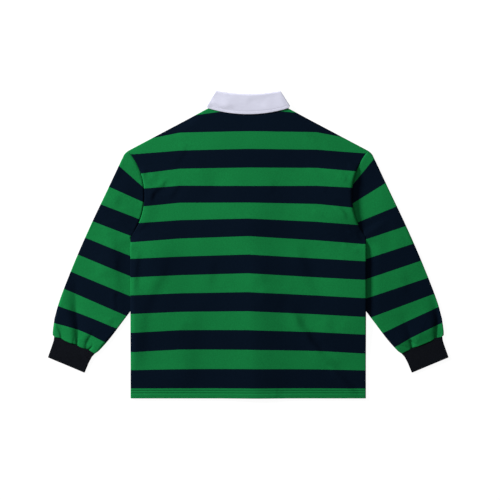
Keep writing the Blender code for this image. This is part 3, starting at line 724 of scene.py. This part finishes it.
def sleeve_line(share, seam_shares):
    """Places across the right sleeve at this share of its top fold; the lines fan out from the underarm."""
    seam = armhole(seam_shares, SEAM_GAP)
    if share == 0:
        return seam
    top, under = top_fold([share])[0], underarm_fold([share**UNDERARM_FAN])[0]
    width = np.linalg.norm(under - top)
    q = across_fold(width, SLEEVE_THICKNESS / 2, len(seam) - 1 - 2 * FOLD_STEPS)[:, None] / width
    seam_q = armhole(q[:, 0], SEAM_GAP)
    bulge = seam_q - (seam_q[0] + q * (seam_q[-1] - seam_q[0]))
    fade = (1 - smooth(share / ARMHOLE_FADE)) * smooth((1 - q) / (0.05 + 3 * share))
    return top + q * (under - top) + bulge * fade


def cuff_seam_shift(across, right):
    """How far the cuff's seam is pushed along the sleeve where the cloth swells between the gathers."""
    _, top_side, under_side = CUFF_SIDES[0]
    q = (across - top_side) / (under_side - top_side)
    shift = -1 - 2 * sum(bell(q - trough, 0.07) for trough in CUFF_TROUGHS[right])
    return shift * smooth(q / 0.12) * smooth((1 - q) / 0.12)


def sleeve(right):
    seam_shares = armhole_shares(88)
    rings, threads = [], []
    for share in np.r_[0, 0.004, 0.01, 0.018, np.linspace(0.027, 0.82, 104), np.linspace(0.82, 1, 50)[1:]]:
        flat = sleeve_line(share, seam_shares)
        push = cuff_seam_shift(sleeve_place(flat)[1], right) * smooth((share - 0.94) / 0.06)
        flat = flat + push[:, None] * SLEEVE_TURN[0]
        above, below = (raised(flat, sleeve_height(flat, upper, right)) for upper in (True, False))
        if share == 0:  # the first ring's top is drawn in under the body's edge, so that no gap shows
            fade = smooth((seam_shares - 0.01) / 0.04) * smooth((0.998 - seam_shares) / 0.02)
            above[:, :2] += fade[:, None] * (armhole(seam_shares, -SLEEVE_TUCK) - flat)
        ring = np.vstack([above, below[-2:0:-1]])
        lay = np.column_stack([sleeve_place(flat)[0], sleeve_stripe(flat, right)])
        rings.append(ring)
        threads.append(np.column_stack([run(ring), np.vstack([lay, lay[-2:0:-1]])]))
    skin = np.array(rings) * (1 if right else -1, 1, 1)
    return shell(skin, JERSEY, np.array(threads), ring=True, flip=not right)


def cuff(right):
    """A ribbed cuff: its ribs run along it, and it is a little looser at its open end."""
    steps = np.r_[SEAM_GAP, 1, 2.2, np.linspace(4, CUFF_LENGTH - 2, 20), CUFF_LENGTH - np.array([1.1, 0.5, 0.15, 0])]
    around = np.arange(RIB_COUNT * 6) / (RIB_COUNT * 6)
    rib = np.abs(np.sin(around * RIB_COUNT * math.pi)) ** 0.7
    half = CUFF_THICKNESS / 2
    quarter = math.pi * half / 2
    rings, threads = [], []
    for along in steps:
        top_side, under_side = (np.interp(along, *np.array(CUFF_SIDES).T[[0, k]]) for k in (1, 2))
        flat_run = under_side - top_side - 2 * half
        bends = np.cumsum([0, quarter, flat_run, 2 * quarter, flat_run, quarter])
        at = (around * bends[-1] + quarter) % bends[-1]
        turn = np.interp(at, bends, np.array([2, 1, 1, -1, -1, -2]) * math.pi / 2)
        centre = half + np.interp(at, bends, np.array([0, 0, 1, 1, 0, 0]) * flat_run)
        rise = RIB_DEPTH * (rib - 1) - 0.1 * bell(along, 1.6) * rib
        reach = half - 0.35 * bell(CUFF_LENGTH - along, 0.5) + rise
        wave = 0.25 * np.sin(along * 0.095 + centre * 0.06 + (1 if right else 2.2))
        across = top_side + centre + np.cos(turn) * reach
        height = half + np.sin(turn) * reach + wave * np.maximum(np.sin(turn), 0)
        shift = cuff_seam_shift(across, right) * smooth(1 - along / 12)
        rings.append(raised(from_sleeve(CUFF_SEAM_ALONG + along + shift, across), height))
        threads.append(np.column_stack([at, np.full(len(at), along), around * RIB_COUNT]))
    skin = np.array(rings) * (1 if right else -1, 1, 1)
    return shell(skin, RIB, np.array(threads), ring=True, flip=not right, rounded=("end",))


def collar_line(w):
    """The collar's ring at w: 0 is the neck seam, 1 the roll, and 2 the fall's edge.

    Its skin is the side that faces the neck, then the roll, then the outside of the fall. It runs from
    the centre front round the wearer's left side and the back to the centre front again.
    """
    stand, fall = min(w, 1), max(w - 1, 0)

    def between(at_seam, at_roll, at_edge):
        return at_seam + stand * (at_roll - at_seam) + fall * (at_edge - at_roll)

    half = between(NECK_HALF_WIDTH - COLLAR_CLOTH, ROLL_HALF_WIDTH, FALL_WIDEST)
    side_y = between(NECK_Y, ROLL_Y, FALL_SIDE_Y)
    back_dip = between(BACK_NECK[0], BACK_ROLL_DIP, BACK_FALL_DIP)
    front_dip = between(FRONT_NECK[0], FRONT_ROLL_DIP, FRONT_ROLL_DIP)
    turned = smooth((w - ROLL_START) / (2 - 2 * ROLL_START))
    low = STAND_ON_FRONT * (1 - turned)
    high = STAND_UNDER_BACK + (COLLAR_HIGH[2] - STAND_UNDER_BACK) * turned
    radius, level = (high - low) / 2, (high + low) / 2
    bend = half - np.r_[0, seam_turn(radius, 7)]
    inner = np.linspace(1, 0, 34)[1:-1] * bend[-1] / half
    back_x = np.r_[bend, half * inner, 0]
    back_x = np.r_[-back_x, back_x[-2::-1]]
    from_side = half - np.abs(back_x)
    back_y = side_y - back_dip * (1 - (back_x / half) ** 2)
    back_y -= fall**2 * FALL_CORNER_DROP * edge_round(from_side, FALL_CORNER_WIDTH)
    back_z = level + radius * edge_round(from_side, radius, COLLAR_EDGE)
    end_x = COLLAR_SPLIT + fall * (COLLAR_POINT[0] - COLLAR_SPLIT)
    front_x = np.r_[bend, end_x + (half - end_x) * inner, end_x]
    q = (half - front_x) / (half - end_x)
    curved = side_y - front_dip * (1 - (front_x / half) ** FRONT_NECK[1])
    front_y = (1 - fall) * curved + fall * (side_y + q * (COLLAR_POINT[1] - side_y))
    front_z = level - radius * edge_round(half - front_x, radius)
    if fall:
        groove = 0.35 * bell(2 - w - COLLAR_STITCH, 0.022)
        folds = creased(np.column_stack([back_x, back_y]), COLLAR_CREASES) * smooth(fall * 3)
        back_z += smooth(from_side / 12) * (folds - groove - 0.15 * smooth((w - 1.9) / 0.1))
        front_z += groove
    front = np.column_stack([front_x, front_y, front_z])
    back = np.column_stack([back_x, back_y, back_z])
    return np.vstack([front[::-1] * (-1, 1, 1), back[1:-1], front])


def collar():
    fall = np.r_[np.linspace(1.1, 1.8, 22)[1:], np.linspace(1.8, 2, 15)[1:]]
    rows = np.r_[np.linspace(0, ROLL_START, 16)[:-1], 1 + np.arange(-5, 6) / 50, fall]
    skin = np.array([collar_line(w) for w in rows])
    weave = np.zeros_like(skin)
    weave[..., 0] = run(collar_line(1.5))
    weave[..., 1] = run(skin[:, len(skin[0]) // 2])[:, None]
    return shell(skin, COLLAR_CLOTH, weave, flip=True, rounded=("end", "sides"))


def strip(level):
    """One strip of the placket, its top cut to the neck's curve."""
    x = np.linspace(-PLACKET_HALF_WIDTH, PLACKET_HALF_WIDTH, 31)
    low = PLACKET_LOW_Y + SEAM_GAP
    y = low + np.linspace(0, 1, 84)[:, None] * (neck_y(x, FRONT_NECK) - SEAM_GAP - low)
    off_side = np.abs(PLACKET_HALF_WIDTH - np.abs(x) - PLACKET_STITCH)
    groove = 0.16 * bell(off_side, 0.7) + 0.16 * bell(y - low - PLACKET_STITCH, 0.7)
    flat = np.stack(np.broadcast_arrays(x, y), axis=-1)
    skin = raised(flat, level + np.minimum(groove, 0.2))
    return shell(skin, JERSEY, raised(flat, 0), flip=True, rounded=("start", "end", "sides"))


# --- thread and buttons ---
def stitches(rows, length, gap, radius):
    """Short round threads along these lines, whose ends go down into the cloth."""
    turn = np.arange(5) / 5 * 2 * math.pi
    rise = radius * np.array([-0.7, 0.4, 0.75, 0.4, -0.7])
    size = radius * np.array([0.5, 0.95, 1.0, 0.95, 0.5])
    bands = []
    for line, out in rows:
        at = run(line)
        count = max(int(at[-1] // (length + gap)), 1)
        start = (np.arange(count) + 0.5) * at[-1] / count - length / 2
        sample = start[:, None] + np.linspace(0, 1, 5) * length
        middle, up = (np.stack([np.interp(sample, at, row[:, k]) for k in range(3)], axis=-1) for row in (line, out))
        up = unit(up)
        side = unit(np.cross(unit(middle[:, -1] - middle[:, 0])[:, None], up))
        spread = np.cos(turn)[:, None] * side[:, :, None] + np.sin(turn)[:, None] * up[:, :, None]
        bands.append((middle + up * rise[:, None])[:, :, None] + size[:, None, None] * spread)
    places = np.vstack(bands).reshape(-1, 3)
    shape = []
    for k in range(20):
        after = k + 1 if k % 5 < 4 else k - 4
        shape.append([k, after, after + 5, k + 5])
    shape += [[4, 3, 2, 1, 0], [20, 21, 22, 23, 24]]
    return smooth_mesh(places, [[v + first for v in face] for first in range(0, len(places), 25) for face in shape])


def row_of(flat, level, way):
    """A row to stitch along at this level, and the way that its stitches face: 1 for up and -1 for down."""
    line = raised(np.array(flat), level)
    return line, np.tile([0.0, 0.0, way], (len(line), 1))


def hem_stitching():
    """Two rows all round, above and below."""
    xs = np.linspace(4 - BODY_HALF_WIDTH, BODY_HALF_WIDTH - 4, 240)
    rows = []
    for y in HEM_ROWS:
        flat = np.column_stack([xs, np.full(len(xs), y)])
        rows += [row_of(flat, body_height(flat, True), 1), row_of(flat, body_height(flat, False) + 0.04, -1)]
    return rows


def collar_stitching():
    """A row all round the fall, a little in from its edge."""
    line, before, after = (collar_line(w - COLLAR_STITCH) for w in (2, 1.95, 2.05))
    out = unit(np.cross(np.gradient(line, axis=0), before - after))
    return [(line[2:-2], out[2:-2])]


def placket_stitching():
    """Down both edges of the outer strip and across its foot."""
    side = PLACKET_HALF_WIDTH - PLACKET_STITCH
    low, high = PLACKET_LOW_Y + SEAM_GAP + PLACKET_STITCH, FRONT_NECK_Y - 2
    lines = [((x, low), (x, high)) for x in (-side, side)] + [((-side, y), (side, y)) for y in (low, low + 12)]
    return [row_of(np.linspace(*ends, 40), PLACKET_LEVEL + 0.16, -1) for ends in lines]


def buttonhole_stitching(buttons):
    """Close stitches on both sides of each buttonhole."""
    rows = []
    for node in buttons:
        x, y, _ = corners(node).mean(axis=0) - (0, HEM_Y, 0)
        for side in (-1, 1):
            for lift in np.arange(-7.6, 7.7, 0.62):
                rows.append(row_of([(x + side * out, y + lift) for out in (0.35, 1.75)], PLACKET_LEVEL, -1))
    return rows


def button_thread(buttons):
    """Two strands through each button's holes."""
    rows = []
    for node in buttons:
        low, high = corners(node)
        x, y, _ = (low + high) / 2 - (0, HEM_Y, 0)
        reach = (high[0] - low[0]) / 2 * HOLE_OFF * math.sqrt(0.5)
        level = low[2] + (high[2] - low[2]) * 0.24
        for strand in (-reach - 0.22, -reach + 0.22, reach - 0.22, reach + 0.22):
            rows.append(row_of([(x + strand, y + end * reach * 1.25) for end in (-1, 1)], level, -1))
    return rows


def solid(name, form):
    """A new object in the scene with this form."""
    mesh = bpy.data.meshes.new(name)
    form.to_mesh(mesh)
    form.free()
    return add(name, mesh)


def button(node):
    """A four-hole button with a raised rim, its face down, where the CAD has it."""
    low, high = corners(node) * MM
    radius, thick = (high[0] - low[0]) / 2, high[2] - low[2]
    body = bmesh.new()
    rings = []
    for out, up in BUTTON_PROFILE:
        r, z, turns = radius * out, thick * up, range(BUTTON_STEPS if out else 1)
        turns = [2 * math.pi * k / BUTTON_STEPS for k in turns]
        rings.append([body.verts.new((r * math.cos(a), r * math.sin(a), z)) for a in turns])
    for first, second in zip(rings, rings[1:]):
        for k in range(BUTTON_STEPS):
            ring = [(first, k), (first, k + 1), (second, k + 1), (second, k)]
            body.faces.new(list(dict.fromkeys(verts[n % len(verts)] for verts, n in ring)))
    bmesh.ops.recalc_face_normals(body, faces=body.faces)
    holes = bmesh.new()
    size = radius * HOLE_SIZE
    for turn in (math.pi / 4 + k * math.pi / 2 for k in range(4)):
        off = radius * HOLE_OFF
        at = Matrix.Translation((off * math.cos(turn), off * math.sin(turn), thick / 2))
        pin = {"segments": 14, "radius1": size, "radius2": size, "depth": thick * 2}
        bmesh.ops.create_cone(holes, cap_ends=True, matrix=at, **pin)
    blank, drill = solid("blank", body), solid("drill", holes)
    cut = blank.modifiers.new("holes", "BOOLEAN")
    cut.operation, cut.object = "DIFFERENCE", drill
    shaped = bpy.data.meshes.new_from_object(blank.evaluated_get(bpy.context.evaluated_depsgraph_get()))
    for temporary in (blank, drill):
        bpy.data.objects.remove(temporary, do_unlink=True)
    shaped.transform(Matrix.Translation((*(low + high)[:2] / 2, low[2])))
    shaped.shade_smooth()
    shaped.set_sharp_from_angle(angle=math.radians(40))
    return shaped


# --- materials ---
def link(socket, value):
    """Feeds a socket from a node's value, or sets it to a plain number or colour."""
    if isinstance(value, Value):
        socket.id_data.links.new(value.socket, socket)
    else:
        socket.default_value = value


def feed(node, **inputs):
    """Links or sets these inputs of a node, and gives its first output."""
    for name, value in inputs.items():
        link(node.inputs[name.replace("_", " ")], value)
    return Value(node.outputs[0])


class Value:
    """What a node gives at each place of the surface. Sums with it add the nodes that work them out."""

    def __init__(self, socket):
        self.socket = socket

    def maths(self, operation, *others):
        node = self.socket.id_data.nodes.new("ShaderNodeMath")
        node.operation = operation
        for socket, value in zip(node.inputs, (self, *others)):
            link(socket, value)
        return Value(node.outputs[0])

    __add__ = partialmethod(maths, "ADD")
    __sub__ = partialmethod(maths, "SUBTRACT")
    __mul__ = partialmethod(maths, "MULTIPLY")
    __truediv__ = partialmethod(maths, "DIVIDE")
    __abs__ = partialmethod(maths, "ABSOLUTE")
    fract = partialmethod(maths, "FRACT")

    def remap(self, low, high):
        node = self.socket.id_data.nodes.new("ShaderNodeMapRange")
        return feed(node, Value=self, To_Min=low, To_Max=high)


class Finish:
    """A material and short ways to add nodes to it.

    looks gives its roughness, its specular level, and its sheen's weight and roughness, or the first of these.
    """

    def __init__(self, name, *looks):
        self.material = bpy.data.materials.new(name)
        self.material.use_nodes = True
        self.nodes = self.material.node_tree.nodes
        self.sockets = self.nodes["Principled BSDF"].inputs
        for socket, value in zip(("Roughness", "Specular IOR Level", "Sheen Weight", "Sheen Roughness"), looks):
            self.sockets[socket].default_value = value

    def node(self, kind):
        return self.nodes.new(f"ShaderNode{kind}")

    def weave(self):
        """The cloth's own coordinates: all three, then across it and along it in metres, and its stripe."""
        attribute, split = self.node("Attribute"), self.node("SeparateXYZ")
        attribute.attribute_name = "weave"
        lay = Value(attribute.outputs["Vector"])
        link(split.inputs[0], lay)
        return lay, *map(Value, split.outputs)

    def place(self):
        """Where the surface is, in metres."""
        return Value(self.node("TexCoord").outputs["Object"])

    def noise(self, vector, scale, detail, stretch=(1, 1, 1)):
        at = feed(self.node("Mapping"), Vector=vector, Scale=stretch)
        return feed(self.node("TexNoise"), Vector=at, Scale=scale, Detail=detail)

    def colour(self, colour, shade):
        """The surface's colour, lighter where the shade is above 1 and darker where it is below."""
        node = self.node("VectorMath")
        node.operation = "SCALE"
        link(self.sockets["Base Color"], feed(node, Vector=colour, Scale=shade))

    def rough(self, value):
        link(self.sockets["Roughness"], value)

    def bump(self, height, distance):
        link(self.sockets["Normal"], feed(self.node("Bump"), Strength=1.0, Distance=distance, Height=height))


GREEN = (0.0063, 0.165, 0.0417, 1)
NAVY = (0.0019, 0.0055, 0.0126, 1)
CUFF_BLACK = (0.0062, 0.0074, 0.0105)
COLLAR_WHITE = (0.622, 0.625, 0.745)
BUTTON_WHITE = (0.78, 0.78, 0.75)
FLOOR_GREY = (0.15, 0.15, 0.15)


def knit(across, along, wale, course):
    """A jersey's face: columns of small Vs. Gives the height, and how far each place is from its column."""
    off = abs((across / wale).fract() - 0.5)
    loop = abs((along / course - off * 1.3).fract() - 0.5)
    leg = abs(off - 0.25) * -1.6 + 1.6
    return leg + loop * 0.9, off


def jersey_finish():
    finish = Finish("striped_jersey", 0.92, 0.02, 0.008, 0.4)
    lay, across, along, stripe = finish.weave()
    height, off = knit(across, along, 0.9 * MM, 0.72 * MM)
    is_green = ((stripe + (off - 0.25) * 0.02) * 0.5).fract().maths("GREATER_THAN", 0.5)
    stripes = finish.node("Mix")
    stripes.data_type = "RGBA"
    feed(stripes, Factor=is_green, A=NAVY, B=GREEN)
    yarn = finish.noise(lay, 900.0, 1.0, (0.35, 1, 0))
    cloudy = finish.noise(finish.place(), 9.0, 3.0)
    flecks = finish.noise(finish.place(), 330.0, 2.0)
    # The knit's height darkens the colour in the hollows between its loops: painted shade, on top of the yarn's own
    # uneven tone.
    shade = yarn.remap(0.80, 1.20) * cloudy.remap(0.94, 1.06) * flecks.remap(0.79, 1.21) * height.remap(0.93, 1.05)
    finish.colour(Value(stripes.outputs["Result"]), shade)
    finish.rough(yarn.remap(0.86, 0.98))
    finish.bump(height + yarn * 0.7, 0.09 * MM)
    return finish.material


def twill_finish(name):
    """Brushed cotton twill, its fine lines on a slant."""
    finish = Finish(name, 0.88, 0.12, 0.06)
    lay, across, along, _ = finish.weave()
    line = abs(((across + along * 0.8) / (0.62 * MM)).fract() - 0.5)
    yarn = finish.noise(lay, 1300.0, 1.0, (1, 0.4, 0))
    cloudy = finish.noise(finish.place(), 22.0, 2.0)
    # The colour is a little darker in the twill's grooves, where line is low: painted shade.
    finish.colour(COLLAR_WHITE, yarn.remap(0.96, 1.04) * cloudy.remap(0.96, 1.04) * (line * 2).remap(0.975, 1.01))
    finish.rough(yarn.remap(0.82, 0.94))
    finish.bump(line + yarn * 0.4, 0.07 * MM)
    return finish.material


def rib_finish():
    finish = Finish("cuff_rib", 0.93, 0.02, 0.008)
    lay, across, along, rib = finish.weave()
    height, _ = knit(across, along, 0.89 * MM, 0.8 * MM)
    yarn = finish.noise(lay, 800.0, 1.0, (1, 0.5, 0))
    cloudy = finish.noise(finish.place(), 30.0, 2.0)
    # The colour is darker in the hollows between the ribs, where valley is low: painted shade.
    valley = abs((rib * math.pi).maths("SINE"))
    finish.colour(CUFF_BLACK, yarn.remap(0.5, 1.5) * cloudy.remap(0.88, 1.12) * valley.remap(0.72, 1.06))
    finish.bump(height + yarn * 0.6, 0.08 * MM)
    return finish.material


def thread_finish(name, colour):
    finish = Finish(name, 0.7, 0.25, 0.04)
    fibre = finish.noise(finish.place(), 2500.0, 1.0)
    finish.colour(colour, fibre.remap(0.8, 1.2))
    finish.bump(fibre, 0.05 * MM)
    return finish.material


def button_finish():
    finish = Finish("button_rubber", 0.42, 0.45)
    mottled = finish.noise(finish.place(), 380.0, 3.0)
    finish.colour(BUTTON_WHITE, mottled.remap(0.95, 1.05))
    finish.rough(mottled.remap(0.36, 0.5))
    finish.bump(mottled, 0.03 * MM)
    return finish.material


# --- the shirt ---
def dress():
    jersey, rib, plastic = jersey_finish(), rib_finish(), button_finish()
    twill, strips = twill_finish("collar_twill"), twill_finish("placket_twill")
    green_thread = thread_finish("green_thread", (0.005, 0.08, 0.024))
    white_thread = thread_finish("white_thread", (0.6, 0.6, 0.7))

    back = place("back_cloth", panel(True, BACK_NECK), jersey, "back_panel")
    front = place("front_cloth", panel(False, FRONT_NECK, slotted=True), jersey, "front_panel")
    sleeves, cuffs = {}, {}
    for right, side in enumerate(("left", "right")):
        sleeves[side] = place(f"sleeve_{side}_cloth", sleeve(right), jersey, f"sleeve_{side}")
        cuffs[side] = place(f"cuff_{side}_rib", cuff(right), rib, f"cuff_{side}")
    fall = place("collar_cloth", collar(), twill, "collar")
    over, under = (
        place(f"{node}_cloth", strip(corners(node)[0][2]), strips, node)
        for node in ("placket_over", "placket_under")
    )

    def sew(name, material, rows, length, gap, radius):
        return place(name, stitches(rows, length, gap, radius), material)

    hem_rows = sew("hem_stitches", green_thread, hem_stitching(), 2.6, 0.7, 0.2)
    collar_rows = sew("collar_stitches", white_thread, collar_stitching(), 2.2, 0.6, 0.17)
    placket_rows = sew("placket_stitches", white_thread, placket_stitching(), 2.2, 0.6, 0.17)
    buttons = ("button_1", "button_2", "button_3")
    for node in buttons:
        place(f"{node}_disc", button(node), plastic, node)
    hole_rows = sew("buttonhole_stitches", white_thread, buttonhole_stitching(buttons), 1.4, 0.0, 0.22)
    sew("button_threads", white_thread, button_thread(buttons), 3.6, 0.0, 0.2)


# --- floor, light and camera, in metres ---
VIEW_WIDTH = 1.25  # of the floor, across the picture
VIEW_CENTRE = (0.0044, 0.370)  # in garment coordinates
CAMERA_HEIGHT = 3.0
SENSOR = 36.0  # in millimetres
KEY_AWAY, KEY_TURN, KEY_CLIMB = 5.0, math.radians(152), math.radians(24)
KEY_POWER, FILL_POWER, SKY = 404, 4.2, 0.20
FLOOR_REACH, FLOOR_GLOW = 6.0, 0.94


def look_down():
    data = bpy.data.cameras.new("camera")
    data.sensor_width = SENSOR
    data.lens = SENSOR * CAMERA_HEIGHT / VIEW_WIDTH
    camera = add("camera", data)
    camera.location = (VIEW_CENTRE[0], VIEW_CENTRE[1] + HEM_Y * MM, CAMERA_HEIGHT)
    bpy.context.scene.camera = camera


def lamp(name, at, size, power):
    """A rectangle of light that faces the middle of the shirt."""
    data = bpy.data.lights.new(name, "AREA")
    data.shape = "RECTANGLE"
    data.size, data.size_y = size
    data.energy = power
    made = add(name, data)
    made.location = at
    made.rotation_euler = (Vector() - Vector(at)).to_track_quat("-Z", "Y").to_euler()


def light():
    """A soft lamp low at the upper left, a weaker one close to the collar's end, and even light from all round."""
    flat = KEY_AWAY * math.cos(KEY_CLIMB)
    at = (flat * math.cos(KEY_TURN), flat * math.sin(KEY_TURN), KEY_AWAY * math.sin(KEY_CLIMB))
    lamp("key", at, (1.0, 1.0), KEY_POWER)
    lamp("fill", (0, 1.2, 1.1), (1.4, 1.0), FILL_POWER)
    world = bpy.data.worlds.new("studio")
    world.use_nodes = True
    background = world.node_tree.nodes["Background"].inputs
    background["Color"].default_value = (1, 1, 1, 1)
    background["Strength"].default_value = SKY
    bpy.context.scene.world = world


def floor():
    finish = Finish("paper_floor", 0.95, 0.0)
    grain = finish.noise(finish.place(), 60.0, 2.0)
    finish.colour(FLOOR_GREY, grain.remap(0.995, 1.005))
    finish.sockets["Emission Color"].default_value = (1, 1, 1, 1)
    finish.sockets["Emission Strength"].default_value = FLOOR_GLOW
    mesh = bpy.data.meshes.new("floor")
    round_it = [(x * FLOOR_REACH, y * FLOOR_REACH, 0) for x, y in ((-1, -1), (1, -1), (1, 1), (-1, 1))]
    mesh.from_pydata(round_it, [], [(0, 1, 2, 3)])
    made = add("floor", mesh)
    made.location.z = -0.2 * MM
    made.data.materials.append(finish.material)


floor()
dress()
light()
look_down()
bpy.context.scene.view_settings.view_transform = "Standard"
